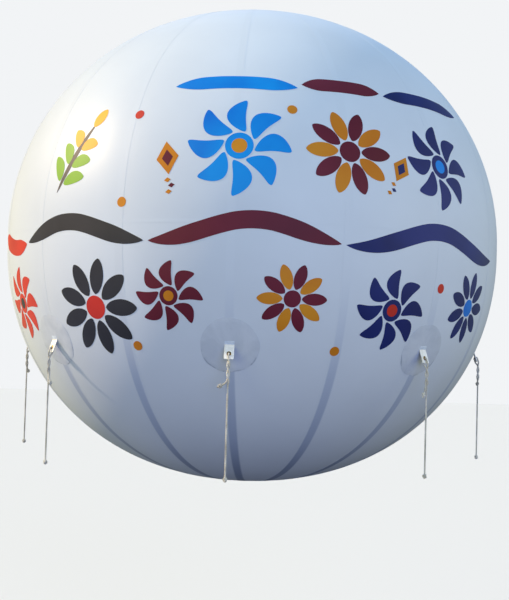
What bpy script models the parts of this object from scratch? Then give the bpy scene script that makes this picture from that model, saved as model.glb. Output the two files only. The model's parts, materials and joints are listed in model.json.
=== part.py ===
"""Tethered PVC advertising balloon: a near-spherical envelope of sixteen gores with eight rigged tie tabs.

Metres, +Z up. The origin is the centre of the envelope and tab 1 points along -Y.
"""

import math

import bmesh
import bpy
from mathutils import Matrix, Vector

# Envelope
EQUATOR_RADIUS = 1.524
POLAR_RATIO = 0.957
TOP_SQUARENESS = 2.06
BASE_SQUARENESS = 2.14
SHELL_THICKNESS = 0.010
GORE_COUNT = 16
CELLS_PER_GORE = 3
TIP_LATITUDE = 85.0
TAB_LATITUDE = -23.4
CELLS_BELOW_TABS = 8
CELLS_TABS_TO_EQUATOR = 3
CELLS_ABOVE_EQUATOR = 11
SLOPE_STEP = 0.01

# Gap left between pieces that touch
SEAT_GAP = 0.0003

# Polar caps
CAP_RADIUS = 0.210
CAP_THICKNESS = 0.0018

# Load patches and their welded feet
TAB_COUNT = 8
PATCH_RADIUS = 0.150
PATCH_THICKNESS = 0.0020
PATCH_CORNERS = 20
PUNCH_DEPTH = 0.2
FOOT_LENGTH = 0.024
FOOT_HEIGHT = 0.0010
FOOT_SINK = 0.0018

# Tie tabs and eyelets
TAB_WIDTH = 0.050
TAB_LENGTH = 0.068
TAB_THICKNESS = 0.004
TAB_CORNER = 0.006
TAB_LEAN = 19.25
EYE_DISTANCE = 0.040
EYE_RADIUS = 0.0060
EYE_FLANGE_RADIUS = 0.0120
EYE_BARREL_RADIUS = 0.0067
EYE_FLANGE_THICKNESS = 0.0009
EYE_CORNERS = 12
HOLE_REACH = 0.02

# Ropes: the stopper's outline pairs shares of its length with shares of its radius
ROPE_RADIUS = 0.005
LOOP_BEND = 0.0065
SWING_DISTANCE = 0.094
SWIVEL_RADIUS = 0.0135
TWIST_RADIUS = 0.009
TWIST_LENGTH = 0.105
ROPE_END_HEIGHT = -1.290
ROPE_POINT_SPACING = 0.030
STOPPER_RADIUS = 0.0105
STOPPER_LENGTH = 0.026
STOPPER_OUTLINE = ((0.2, 0.85), (0.5, 1.0), (0.8, 0.85), (1.0, 0.45))

# Inflation valve
VALVE_FLANGE_RADIUS = 0.055
VALVE_FLANGE_THICKNESS = 0.003
VALVE_TUBE_RADIUS = 0.0237
VALVE_THROAT_RADIUS = 0.0170
VALVE_TUBE_LENGTH = 0.034
VALVE_CORNERS = 24
LID_RADIUS = 0.032
LID_THICKNESS = 0.003
HINGE_OFFSET = 0.040
HINGE_DROP = 0.0035
BARREL_RADIUS = 0.0028
BARREL_LENGTH = 0.014
PIN_RADIUS = 0.0014
PIN_LENGTH = 0.005
ROD_CORNERS = 10
LUG_WIDTH = 0.007
LUG_DEPTH = 0.008
LUG_SINK = 0.001
TONGUE_INSET = 0.001
TONGUE_OVERLAP = 0.006


def clear_scene():
    for obj in list(bpy.data.objects):
        bpy.data.objects.remove(obj, do_unlink=True)


def material(name, colour, roughness, metallic=0.0):
    made = bpy.data.materials.get(name) or bpy.data.materials.new(name)
    made.use_nodes = True
    shader = made.node_tree.nodes["Principled BSDF"]
    shader.inputs["Base Color"].default_value = (*colour, 1.0)
    shader.inputs["Roughness"].default_value = roughness
    shader.inputs["Metallic"].default_value = metallic
    return made


def object_from(name, bm, finish, smooth_angle=None):
    mesh = bpy.data.meshes.new(name)
    bm.to_mesh(mesh)
    bm.free()
    if smooth_angle is not None:
        mesh.shade_smooth()
        mesh.set_sharp_from_angle(angle=math.radians(smooth_angle))
    obj = bpy.data.objects.new(name, mesh)
    bpy.context.scene.collection.objects.link(obj)
    mesh.materials.append(finish)
    return obj


def boolean(target, tool, operation):
    """Adds a live Boolean on target; tool becomes a hidden guide."""
    tool.hide_render = True
    tool.display_type = "WIRE"
    modifier = target.modifiers.new(operation.title(), "BOOLEAN")
    modifier.operation = operation
    modifier.solver = "EXACT"
    modifier.object = tool


# Envelope surface


def meridian(latitude, offset=0.0):
    """Radius and height of the outer surface at a latitude parameter in degrees, moved out by offset."""

    def bare(degrees):
        c = math.cos(math.radians(degrees))
        s = math.sin(math.radians(degrees))
        power = 2 / (TOP_SQUARENESS if s > 0 else BASE_SQUARENESS)
        radius = EQUATOR_RADIUS * abs(c) ** power
        height = math.copysign(EQUATOR_RADIUS * POLAR_RATIO * abs(s) ** power, s)
        return Vector((radius, height))

    tangent = (bare(latitude + SLOPE_STEP) - bare(latitude - SLOPE_STEP)).normalized()
    return bare(latitude) + offset * Vector((tangent.y, -tangent.x))


def ring_latitudes():
    """Latitudes of the facet rings from the lower gore tips to the upper ones, with one ring at the tabs."""
    lower = (TAB_LATITUDE + TIP_LATITUDE) / CELLS_BELOW_TABS
    below = [lower * i - TIP_LATITUDE for i in range(CELLS_BELOW_TABS)]
    middle = [TAB_LATITUDE * (1 - i / CELLS_TABS_TO_EQUATOR) for i in range(CELLS_TABS_TO_EQUATOR)]
    above = [TIP_LATITUDE * i / CELLS_ABOVE_EQUATOR for i in range(CELLS_ABOVE_EQUATOR + 1)]
    return below + middle + above


def azimuth_point(radius, height, azimuth, shift=0.0):
    """A point at an azimuth in degrees from -Y towards +X, moved sideways by shift."""
    a = math.radians(azimuth)
    x = radius * math.sin(a) + shift * math.cos(a)
    y = shift * math.sin(a) - radius * math.cos(a)
    return Vector((x, y, height))


def shell_panel(azimuths, latitudes, inner, outer, edge_gap):
    """A closed panel of facets between two offsets from the envelope, its side edges drawn in by edge_gap."""
    bm = bmesh.new()
    layers = []
    for offset in (outer, inner):
        grid = []
        for latitude in latitudes:
            radius, height = meridian(latitude, offset)
            row = []
            for i, azimuth in enumerate(azimuths):
                side = edge_gap * ((i == 0) - (i == len(azimuths) - 1))
                row.append(bm.verts.new(azimuth_point(radius, height, azimuth, side)))
            grid.append(row)
        layers.append(grid)
    front, back = layers
    rows = len(latitudes)
    columns = len(azimuths)
    for i in range(rows - 1):
        for j in range(columns - 1):
            bm.faces.new((front[i][j], front[i][j + 1], front[i + 1][j + 1], front[i + 1][j]))
            bm.faces.new((back[i][j], back[i + 1][j], back[i + 1][j + 1], back[i][j + 1]))
    for i in range(rows - 1):
        bm.faces.new((front[i + 1][0], back[i + 1][0], back[i][0], front[i][0]))
        bm.faces.new((front[i][-1], back[i][-1], back[i + 1][-1], front[i + 1][-1]))
    for j in range(columns - 1):
        bm.faces.new((front[0][j], back[0][j], back[0][j + 1], front[0][j + 1]))
        bm.faces.new((front[-1][j + 1], back[-1][j + 1], back[-1][j], front[-1][j]))
    return bm


def make_gores(finish):
    step = 360 / GORE_COUNT
    for index in range(GORE_COUNT):
        azimuths = [step * (index + i / CELLS_PER_GORE) for i in range(CELLS_PER_GORE + 1)]
        bm = shell_panel(azimuths, ring_latitudes(), -SHELL_THICKNESS, 0.0, SEAT_GAP / 2)
        object_from(f"gore_{index + 1:02d}", bm, finish, 30)


# Turned pieces


def turned(profile, corners):
    """A solid turned about Z from (radius, height) points listed anticlockwise, the outer side going up."""
    bm = bmesh.new()
    rings = []
    for radius, height in profile:
        if radius == 0:
            rings.append([bm.verts.new((0, 0, height))])
        else:
            angles = [2 * math.pi * i / corners for i in range(corners)]
            ring = [(radius * math.sin(a), -radius * math.cos(a), height) for a in angles]
            rings.append([bm.verts.new(point) for point in ring])
    pairs = list(zip(rings, rings[1:]))
    if profile[0][0] != 0:
        pairs.append((rings[-1], rings[0]))
    for low, high in pairs:
        for i in range(corners):
            j = (i + 1) % corners
            around = [low[i % len(low)], low[j % len(low)], high[j % len(high)], high[i % len(high)]]
            unique = list(dict.fromkeys(around))
            if len(unique) > 2:
                bm.faces.new(unique)
    return bm


def make_cap(name, sign, hole_radius, finish):
    """A welded disc that laps over the gore tips and plugs the round hole between them."""
    squareness = TOP_SQUARENESS if sign > 0 else BASE_SQUARENESS
    rim = math.degrees(math.acos((CAP_RADIUS / EQUATOR_RADIUS) ** (squareness / 2)))
    crown = (TIP_LATITUDE + 90) / 2
    outer = [meridian(sign * a, SEAT_GAP + CAP_THICKNESS) for a in (crown, TIP_LATITUDE, rim)]
    lap = [meridian(sign * a, SEAT_GAP) for a in (rim, TIP_LATITUDE)]
    plug = meridian(sign * TIP_LATITUDE, -SHELL_THICKNESS)
    plug_radius = plug.x - 2 * SEAT_GAP
    face = sign * (EQUATOR_RADIUS * POLAR_RATIO + SEAT_GAP + CAP_THICKNESS)
    section = [Vector((hole_radius, face))] + outer + lap
    section += [Vector((plug_radius, lap[-1].y)), Vector((plug_radius, plug.y))]
    section.append(Vector((hole_radius, plug.y)))
    if sign > 0:
        section.reverse()
    bm = turned([(p.x, p.y) for p in section], GORE_COUNT * CELLS_PER_GORE)
    return object_from(name, bm, finish, 30)


# Rigging: load patch, tie tab, eyelet, lashing and rope at each of the eight stations


def station_frame(azimuth):
    """World matrix of the tab hinge: X along the hinge axis, -Z plumb down and -Y away from the envelope."""
    root = meridian(TAB_LATITUDE, SEAT_GAP + PATCH_THICKNESS + SEAT_GAP + TAB_THICKNESS / 2)
    place = azimuth_point(root.x, root.y, azimuth)
    return Matrix.Translation(place) @ Matrix.Rotation(math.radians(azimuth), 4, "Z")


def tab_tilt():
    """Turns a piece drawn along -Z so that it leans out from plumb by the tab's rest angle."""
    return Matrix.Rotation(-math.radians(TAB_LEAN), 4, "X")


def make_patch(name, azimuth, finish):
    """A round double layer of film that follows the facets, with the tab's welded foot on it."""
    cell = 360 / GORE_COUNT / CELLS_PER_GORE
    rings = ring_latitudes()
    centre = min(range(len(rings)), key=lambda i: abs(rings[i] - TAB_LATITUDE))
    azimuths = [azimuth + cell * i for i in (-1, 0, 1)]
    sheet = shell_panel(azimuths, rings[centre - 1 : centre + 2], SEAT_GAP, SEAT_GAP + PATCH_THICKNESS, 0.0)
    patch = object_from(name, sheet, finish, 20)
    low, here, high = (meridian(rings[centre + i]) for i in (-1, 0, 1))
    normal = Vector((-(low - high).y, (low - high).x)).normalized()
    punch = bmesh.new()
    bmesh.ops.create_cone(
        punch,
        cap_ends=True,
        segments=PATCH_CORNERS,
        radius1=PATCH_RADIUS,
        radius2=PATCH_RADIUS,
        depth=PUNCH_DEPTH,
    )
    tilt = math.atan2(normal.y, normal.x)
    lie = Matrix.Rotation(math.radians(azimuth), 4, "Z") @ Matrix.Rotation(math.pi / 2 - tilt, 4, "X")
    punch.transform(Matrix.Translation(azimuth_point(here.x, here.y, azimuth)) @ lie)
    boolean(patch, object_from(name + "_punch", punch, finish), "INTERSECT")
    ridge = high - here
    along = ridge.normalized()
    foot = bmesh.new()
    bmesh.ops.create_cube(foot, size=1.0)
    tall = FOOT_SINK + FOOT_HEIGHT
    foot.transform(Matrix.Diagonal((TAB_WIDTH, tall, FOOT_LENGTH, 1)))
    start = TAB_THICKNESS / 2 + SEAT_GAP
    top = SEAT_GAP + PATCH_THICKNESS + FOOT_HEIGHT - tall / 2
    out = Vector((along.y, -along.x))
    middle = here + along * (start + FOOT_LENGTH / 2) + out * top
    slope = Matrix.Rotation(math.atan2(along.x, along.y), 4, "X")
    foot.transform(Matrix.Rotation(math.radians(azimuth), 4, "Z") @ slope)
    foot.transform(Matrix.Translation(azimuth_point(middle.x, middle.y, azimuth)))
    boolean(patch, object_from(name + "_foot", foot, finish), "UNION")


def make_tab(name, frame, finish):
    """The folded strap: a flat plate, its top edge round on the hinge axis, with the eyelet's hole."""
    half = TAB_THICKNESS / 2
    arc = [math.radians(a) for a in range(0, 181, 30)]
    section = [(half * math.cos(a), half * math.sin(a)) for a in arc]
    section += [(-half, -TAB_LENGTH), (half, -TAB_LENGTH)]
    bm = bmesh.new()
    ends = [[bm.verts.new((x, y, z)) for y, z in section] for x in (-TAB_WIDTH / 2, TAB_WIDTH / 2)]
    count = len(section)
    for i in range(count):
        j = (i + 1) % count
        bm.faces.new((ends[0][i], ends[0][j], ends[1][j], ends[1][i]))
    bm.faces.new(list(reversed(ends[0])))
    bm.faces.new(ends[1])
    bmesh.ops.recalc_face_normals(bm, faces=bm.faces)
    low = [e for e in bm.edges if all(abs(v.co.z + TAB_LENGTH) < SEAT_GAP for v in e.verts)]
    corners = [e for e in low if abs(e.verts[0].co.x - e.verts[1].co.x) < SEAT_GAP]
    bmesh.ops.bevel(bm, geom=corners, offset=TAB_CORNER, segments=3, profile=0.5, affect="EDGES")
    tab = object_from(name, bm, finish, 30)
    hole_radius = EYE_BARREL_RADIUS + SEAT_GAP
    hole = turned(
        [(0, -HOLE_REACH), (hole_radius, -HOLE_REACH), (hole_radius, HOLE_REACH), (0, HOLE_REACH)],
        EYE_CORNERS,
    )
    lie = Matrix.Translation((0, 0, -EYE_DISTANCE)) @ Matrix.Rotation(math.pi / 2, 4, "X")
    hole.transform(lie)
    punch = object_from(name + "_punch", hole, finish)
    punch.matrix_world = frame @ tab_tilt()
    boolean(tab, punch, "DIFFERENCE")
    tab.matrix_world = frame @ tab_tilt()
    return lie


def make_eyelet(name, frame, lie, finish):
    """A rolled grommet: a barrel through the strap with a flange on each face."""
    grip = TAB_THICKNESS / 2 + SEAT_GAP
    face = grip + EYE_FLANGE_THICKNESS
    section = [
        (EYE_RADIUS, -face),
        (EYE_FLANGE_RADIUS, -face),
        (EYE_FLANGE_RADIUS, -grip),
        (EYE_BARREL_RADIUS, -grip),
        (EYE_BARREL_RADIUS, grip),
        (EYE_FLANGE_RADIUS, grip),
        (EYE_FLANGE_RADIUS, face),
        (EYE_RADIUS, face),
    ]
    eyelet = object_from(name, turned(section, EYE_CORNERS), finish, 30)
    eyelet.matrix_world = frame @ tab_tilt() @ lie


def tube(points, radii, name, finish):
    """A round cord along points, as a curve with a bevel and filled ends."""
    curve = bpy.data.curves.new(name, "CURVE")
    curve.dimensions = "3D"
    curve.bevel_depth = ROPE_RADIUS
    curve.bevel_resolution = 2
    curve.use_fill_caps = True
    spline = curve.splines.new("POLY")
    spline.points.add(len(points) - 1)
    for target, point, radius in zip(spline.points, points, radii):
        target.co = (*point, 1.0)
        target.radius = radius / ROPE_RADIUS
    curve.materials.append(finish)
    obj = bpy.data.objects.new(name, curve)
    bpy.context.scene.collection.objects.link(obj)
    return obj


def make_lashing(name, frame, finish):
    """The rope's turn through the eyelet, down both faces of the strap and together under its end."""
    face = TAB_THICKNESS / 2 + SEAT_GAP + EYE_FLANGE_THICKNESS + SEAT_GAP
    bend = [math.radians(a) for a in (0, 30, 60, 90)]
    strand = [(face + LOOP_BEND * math.sin(a), EYE_DISTANCE + LOOP_BEND * (1 - math.cos(a))) for a in bend]
    together = ROPE_RADIUS + SEAT_GAP / 2
    end = SWING_DISTANCE - SWIVEL_RADIUS - SEAT_GAP
    strand += [(face + LOOP_BEND, TAB_LENGTH), (together, (TAB_LENGTH + end) / 2), (together, end)]
    front = [(0, -out, -down) for out, down in reversed(strand)]
    back = [(0, out, -down) for out, down in strand]
    lashing = tube(front + back, [ROPE_RADIUS] * 2 * len(strand), name, finish)
    lashing.matrix_world = frame @ tab_tilt()


def make_rope(name, frame, finish):
    """The rope that hangs plumb: a round head on the swing's axis, a twisted pair, one line and a stopper."""
    pivot = frame @ tab_tilt() @ Vector((0, 0, -SWING_DISTANCE))
    neck = math.degrees(math.acos(TWIST_RADIUS / SWIVEL_RADIUS))
    head = [math.radians(a) for a in (80, 55, 30, 0, -neck)]
    outline = [(SWIVEL_RADIUS * math.sin(a), SWIVEL_RADIUS * math.cos(a)) for a in head]
    twist_end = -TWIST_LENGTH
    outline += [(twist_end * share, TWIST_RADIUS) for share in (0.4, 0.7, 1.0)]
    top = twist_end - TWIST_RADIUS
    plain = ROPE_END_HEIGHT - pivot.z + STOPPER_LENGTH
    count = round((top - plain) / ROPE_POINT_SPACING)
    outline += [(top + (plain - top) * i / count, ROPE_RADIUS) for i in range(count + 1)]
    outline += [(plain - STOPPER_LENGTH * share, STOPPER_RADIUS * width) for share, width in STOPPER_OUTLINE]
    rope = tube([(0, 0, height) for height, _ in outline], [radius for _, radius in outline], name, finish)
    rope.matrix_world = Matrix.Translation(pivot)


def make_rigging(film, brass, cordage):
    for index in range(TAB_COUNT):
        azimuth = 360 / TAB_COUNT * index
        number = index + 1
        frame = station_frame(azimuth)
        make_patch(f"load_patch_{number}", azimuth, film)
        lie = make_tab(f"tie_tab_{number}", frame, film)
        make_eyelet(f"eyelet_{number}", frame, lie, brass)
        make_lashing(f"lashing_{number}", frame, cordage)
        make_rope(f"rope_{number}", frame, cordage)


# Inflation valve in the base cap


def box(name, low, high, finish):
    bm = bmesh.new()
    bmesh.ops.create_cube(bm, size=1.0)
    size = [b - a for a, b in zip(low, high)]
    middle = [(a + b) / 2 for a, b in zip(low, high)]
    bm.transform(Matrix.Translation(middle) @ Matrix.Diagonal((*size, 1)))
    return object_from(name, bm, finish)


def rod(name, radius, half_length, y, z, finish):
    """A round bar along X."""
    section = [(0, -half_length), (radius, -half_length), (radius, half_length), (0, half_length)]
    bm = turned(section, ROD_CORNERS)
    bm.transform(Matrix.Translation((0, y, z)) @ Matrix.Rotation(math.pi / 2, 4, "Y"))
    return object_from(name, bm, finish)


def make_valve(finish):
    seat = -EQUATOR_RADIUS * POLAR_RATIO - SEAT_GAP - CAP_THICKNESS - SEAT_GAP
    face = seat - VALVE_FLANGE_THICKNESS
    section = [
        (VALVE_THROAT_RADIUS, face),
        (VALVE_FLANGE_RADIUS, face),
        (VALVE_FLANGE_RADIUS, seat),
        (VALVE_TUBE_RADIUS, seat),
        (VALVE_TUBE_RADIUS, seat + VALVE_TUBE_LENGTH),
        (VALVE_THROAT_RADIUS, seat + VALVE_TUBE_LENGTH),
    ]
    base = object_from("valve_base", turned(section, VALVE_CORNERS), finish, 30)
    pivot = Vector((0, HINGE_OFFSET, face - HINGE_DROP))
    inner = BARREL_LENGTH / 2 + SEAT_GAP
    pin_reach = BARREL_LENGTH / 2 + PIN_LENGTH
    for name, left in (("valve_left_lug", -inner - LUG_WIDTH), ("valve_right_lug", inner)):
        low = (left, pivot.y - LUG_DEPTH / 2, pivot.z - LUG_DEPTH / 2)
        high = (left + LUG_WIDTH, pivot.y + LUG_DEPTH / 2, face + LUG_SINK)
        boolean(base, box(name, low, high, finish), "UNION")
    bore = rod("valve_pin_bore", PIN_RADIUS + SEAT_GAP, pin_reach + SEAT_GAP, pivot.y, pivot.z, finish)
    boolean(base, bore, "DIFFERENCE")

    lid_top = face - SEAT_GAP
    lid_low = lid_top - LID_THICKNESS
    disc = turned([(0, lid_low), (LID_RADIUS, lid_low), (LID_RADIUS, lid_top), (0, lid_top)], VALVE_CORNERS)
    disc.transform(Matrix.Translation(-pivot))
    lid = object_from("valve_lid", disc, finish, 30)
    half = BARREL_LENGTH / 2 - TONGUE_INSET
    tongue_low = (-half, LID_RADIUS - TONGUE_OVERLAP - pivot.y, lid_low + SEAT_GAP - pivot.z)
    tongue_high = (half, -PIN_RADIUS / 2, lid_top - SEAT_GAP - pivot.z)
    tongue = box("valve_lid_tongue", tongue_low, tongue_high, finish)
    barrel = rod("valve_lid_barrel", BARREL_RADIUS, BARREL_LENGTH / 2, 0, 0, finish)
    pin = rod("valve_lid_pin", PIN_RADIUS, pin_reach, 0, 0, finish)
    for tool in (tongue, barrel, pin):
        tool.location = pivot
        boolean(lid, tool, "UNION")
    lid.location = pivot


def main():
    clear_scene()
    film = material("white_pvc_film", (0.80, 0.84, 0.90), 0.25)
    brass = material("brass", (0.60, 0.45, 0.22), 0.35, 1.0)
    cordage = material("twisted_polyester_rope", (0.66, 0.62, 0.53), 0.85)
    plastic = material("white_valve_plastic", (0.75, 0.76, 0.78), 0.4)
    make_gores(film)
    make_cap("crown_cap", 1, 0.0, film)
    make_cap("base_cap", -1, VALVE_TUBE_RADIUS + SEAT_GAP, film)
    make_rigging(film, brass, cordage)
    make_valve(plastic)


main()
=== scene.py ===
import json
import math

import bpy
import numpy as np
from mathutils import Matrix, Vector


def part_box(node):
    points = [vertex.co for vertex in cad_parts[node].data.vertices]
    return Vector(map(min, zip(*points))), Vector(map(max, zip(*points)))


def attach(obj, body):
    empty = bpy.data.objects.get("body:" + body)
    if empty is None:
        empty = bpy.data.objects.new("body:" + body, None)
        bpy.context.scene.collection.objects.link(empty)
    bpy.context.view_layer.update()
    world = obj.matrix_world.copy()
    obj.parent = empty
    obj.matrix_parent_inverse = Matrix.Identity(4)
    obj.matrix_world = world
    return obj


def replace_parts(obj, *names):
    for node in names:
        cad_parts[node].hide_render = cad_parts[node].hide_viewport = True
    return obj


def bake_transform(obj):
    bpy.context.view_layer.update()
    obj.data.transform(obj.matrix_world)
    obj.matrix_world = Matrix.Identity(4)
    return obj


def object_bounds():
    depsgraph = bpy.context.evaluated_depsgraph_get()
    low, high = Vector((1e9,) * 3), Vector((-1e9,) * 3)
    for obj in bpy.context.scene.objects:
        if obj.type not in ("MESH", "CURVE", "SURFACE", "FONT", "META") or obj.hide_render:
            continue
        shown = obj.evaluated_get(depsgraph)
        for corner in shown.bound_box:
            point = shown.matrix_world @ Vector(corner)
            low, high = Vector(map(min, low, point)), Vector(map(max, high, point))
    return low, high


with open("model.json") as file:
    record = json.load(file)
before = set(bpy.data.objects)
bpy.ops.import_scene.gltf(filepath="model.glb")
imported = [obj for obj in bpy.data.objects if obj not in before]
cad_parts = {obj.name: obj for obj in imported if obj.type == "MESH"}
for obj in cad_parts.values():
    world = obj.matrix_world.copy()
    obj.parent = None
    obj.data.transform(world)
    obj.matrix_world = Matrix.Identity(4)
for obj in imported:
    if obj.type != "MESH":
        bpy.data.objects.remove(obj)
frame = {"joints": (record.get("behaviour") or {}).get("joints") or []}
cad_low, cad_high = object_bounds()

# Camera
# The photographer stands 6.5 m from the balloon's axis and looks up at it a little. The distance, the
# height and the turns were fitted to the balloon's outline, seams and tabs in the 509 by 600 picture.

CAMERA_DISTANCE = 6.492
CAMERA_AZIMUTH = 4.1
CAMERA_ELEVATION = -5.1
CAMERA_YAW = -0.2
CAMERA_PITCH = 2.2
CAMERA_ROLL = -1.64
FOCAL_PIXELS = 1012
PICTURE_HEIGHT = 600
SENSOR_MM = 36


def turn(axis, degrees):
    """The 3 by 3 matrix that turns a column vector by some degrees about one of the axes X, Y and Z."""
    i, j = {"X": (1, 2), "Y": (2, 0), "Z": (0, 1)}[axis]
    angle = math.radians(degrees)
    matrix = np.eye(3)
    matrix[i, i] = matrix[j, j] = math.cos(angle)
    matrix[j, i] = math.sin(angle)
    matrix[i, j] = -math.sin(angle)
    return matrix


def direction(azimuth, elevation):
    """The unit vector towards an azimuth from -Y towards +X and an elevation, both in degrees."""
    azimuth, elevation = math.radians(azimuth), math.radians(elevation)
    level = math.cos(elevation)
    return np.array([math.sin(azimuth) * level, -math.cos(azimuth) * level, math.sin(elevation)])


def placed(name, data, aim=np.eye(3), place=(0, 0, 0)):
    """A new object in the scene, turned by the matrix aim and moved to a place."""
    obj = bpy.data.objects.new(name, data)
    bpy.context.scene.collection.objects.link(obj)
    matrix = np.eye(4)
    matrix[:3, :3] = aim
    matrix[:3, 3] = place
    obj.matrix_world = matrix.T
    return obj


lens = bpy.data.cameras.new("camera")
lens.lens = FOCAL_PIXELS * SENSOR_MM / PICTURE_HEIGHT
lens.sensor_width = SENSOR_MM
aim = turn("Z", CAMERA_AZIMUTH + CAMERA_YAW) @ turn("X", CAMERA_PITCH)
aim = aim @ turn("Y", CAMERA_ROLL) @ turn("X", 90)
place = CAMERA_DISTANCE * direction(CAMERA_AZIMUTH, CAMERA_ELEVATION)
bpy.context.scene.camera = placed("camera", lens, aim, place)

# Ropes
# Three strands of off-white spun polyester, laid to 10 mm. Each rope passes through the eyelet of its tab,
# its two parts are twisted together below the strap, the short one ends in a knot and the long one hangs.

ROPE_RADIUS = 0.005
ROPE_LAY = 0.036
ROPE_SIDES = 24
ROPE_STEP = 0.0025
FINE_STEP = 0.0005
TAB_COUNT = 8
TAB_ANGLE = 2 * math.pi / TAB_COUNT
TAB_LEAN = math.radians(19.25)
TAB_LENGTH = 0.068
EYE_DISTANCE = 0.040
EYELET_FACE = 0.0035
LOOP_BEND = 0.0065
SWING_RUN = 0.026
BEND_REACH = 0.014
TWIST_OFFSET = 0.0050
TWIST_PITCH = 0.084
TWIST_EASE = 0.010
TWIST_END = 0.105
CLOSE_RUN = 0.020
PART_RUN = 0.030
SPLIT_RUN = 0.040
BLEND_REACH = 0.011
KNOT_STUB = 0.016
KNOT_RADIUS = 0.0058
KNOT_SWELL = 0.0022
KNOT_RISE = 0.0068
KNOT_ROPE_RADIUS = 0.0048
KNOT_LAY = 0.030
STRAND_CENTRE = 0.5359
STRAND_RADIUS = 0.4641
GROOVE = 0.60
STOPPER_RISE = 0.014
LONGEST_RUN = 0.80
TAIL_ACROSS = (-0.034, -0.019, 0.030, -0.022, 0.036, 0.020, -0.030, 0.019)
TAIL_PROUD = (0.002, 0.004, 0.006, 0.006, 0.002, 0.006, 0.004, 0.004)
TAIL_DROP = (0.030, 0.062, 0.034, 0.048, 0.028, 0.058, 0.040, 0.060)
SHARP_ANGLE = math.radians(50)
joints = {joint["name"]: joint for joint in frame["joints"]}
stations = range(1, TAB_COUNT + 1)


def ease(share):
    """A smooth step from 0 to 1: three times the square of the share less twice its cube."""
    share = np.clip(share, 0, 1)
    return share * share * (3 - 2 * share)


def circle(count):
    """Even angles once round a circle."""
    return np.linspace(0, 2 * math.pi, count, endpoint=False)


def numbered(grid):
    """The number of each point in a grid of points."""
    return np.arange(grid.shape[0] * grid.shape[1]).reshape(grid.shape[:2])


def quads(index, around=False):
    """Quads between neighbours in a grid of point numbers. If around, the last column joins the first."""
    if around:
        index = np.concatenate([index, index[:, :1]], axis=1)
    here, there = index[:-1], index[1:]
    return np.stack([here[:, :-1], here[:, 1:], there[:, 1:], there[:, :-1]], axis=-1).reshape(-1, 4)


def piece(name, parts, material, body):
    """One object from several parts, each a pair of points and faces. It rides on a body, or on none yet."""
    points = []
    faces = []
    start = 0
    for part_points, part_faces in parts:
        points.append(part_points)
        faces.extend((np.asarray(face) + start).tolist() for face in part_faces)
        start += len(part_points)
    mesh = bpy.data.meshes.new(name)
    mesh.from_pydata(np.concatenate(points).tolist(), [], faces)
    mesh.validate()
    mesh.shade_smooth()
    mesh.set_sharp_from_angle(angle=SHARP_ANGLE)
    mesh.materials.append(material)
    obj = placed(name, mesh)
    if body:
        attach(obj, body)
    return obj


def linear(code):
    """The linear colour of an sRGB hex code such as d9dde6."""
    srgb = np.array([int(code[i : i + 2], 16) for i in (0, 2, 4)]) / 255
    value = np.where(srgb <= 0.04045, srgb / 12.92, ((srgb + 0.055) / 1.055) ** 2.4)
    return (*value.tolist(), 1.0)


def add(tree, kind, links=(), values=(), **settings):
    """Adds a node. Settings name its properties or inputs. Values and links set or join its other inputs."""
    node = tree.nodes.new(kind)
    for name, value in settings.items():
        if hasattr(node, name):
            setattr(node, name, value)
        else:
            node.inputs[name.replace("_", " ")].default_value = value
    for number, value in dict(values).items():
        node.inputs[number].default_value = value
    for name, output in dict(links).items():
        tree.links.new(output, node.inputs[name])
    return node


def finish(name, **settings):
    """A new material, its node tree, its Principled shader with inputs set, and the object's coordinates."""
    made = bpy.data.materials.new(name)
    made.use_nodes = True
    shader = made.node_tree.nodes["Principled BSDF"]
    for key, value in settings.items():
        shader.inputs[key.replace("_", " ")].default_value = value
    return made, made.node_tree, shader, add(made.node_tree, "ShaderNodeTexCoord").outputs["Object"]


def dress(tree, shader, colour, relief=None, strength=0.0, depth=0.0):
    """Links a colour to the shader, and a bump as deep as depth in metres where a relief is given."""
    tree.links.new(colour, shader.inputs["Base Color"])
    if relief is not None:
        bump = add(tree, "ShaderNodeBump", {"Height": relief}, Strength=strength, Distance=depth)
        tree.links.new(bump.outputs["Normal"], shader.inputs["Normal"])


def ramp(tree, factor, stops):
    """A colour ramp of hex codes at positions from 0 to 1."""
    node = add(tree, "ShaderNodeValToRGB", {"Fac": factor})
    elements = node.color_ramp.elements
    while len(elements) < len(stops):
        elements.new(0.5)
    for element, (place, code) in zip(elements, stops):
        element.position = place
        element.color = linear(code)
    return node.outputs["Color"]


def station_axes(number):
    """The hinge's point, and unit vectors sideways, outwards and up, at one tab."""
    angle = (number - 1) * TAB_ANGLE
    side = np.array([math.cos(angle), math.sin(angle), 0])
    out = np.array([math.sin(angle), -math.cos(angle), 0])
    return np.array(joints[f"tab_hinge_{number}"]["pos_m"]), side, out, np.array([0, 0, 1.0])


def on_tab(number, across, down, proud):
    """Points in a tab's own directions: across it, down it from the hinge, and proud of its middle plane."""
    hinge, side, out, up = station_axes(number)
    along = out * math.sin(TAB_LEAN) - up * math.cos(TAB_LEAN)
    face = out * math.cos(TAB_LEAN) + up * math.sin(TAB_LEAN)
    across, down, proud = np.broadcast_arrays(across, down, proud)
    return hinge + across[..., None] * side + down[..., None] * along + proud[..., None] * face


def along_line(path):
    """The distance run along a path at each of its points."""
    return np.concatenate([[0], np.cumsum(np.linalg.norm(np.diff(path, axis=0), axis=1))])


def frames_along(path):
    """Two unit normals at each point of a path, carried along it without twist."""
    tangent = np.gradient(path, axis=0)
    tangent /= np.linalg.norm(tangent, axis=1, keepdims=True)
    seed = np.eye(3)[np.argmin(np.abs(tangent[0]))]
    first = np.cross(tangent[0], seed)
    normals = [first / np.linalg.norm(first)]
    for here in tangent[1:]:
        carried = normals[-1] - here * (normals[-1] @ here)
        normals.append(carried / np.linalg.norm(carried))
    normal = np.array(normals)
    return normal, np.cross(tangent, normal)


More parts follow.
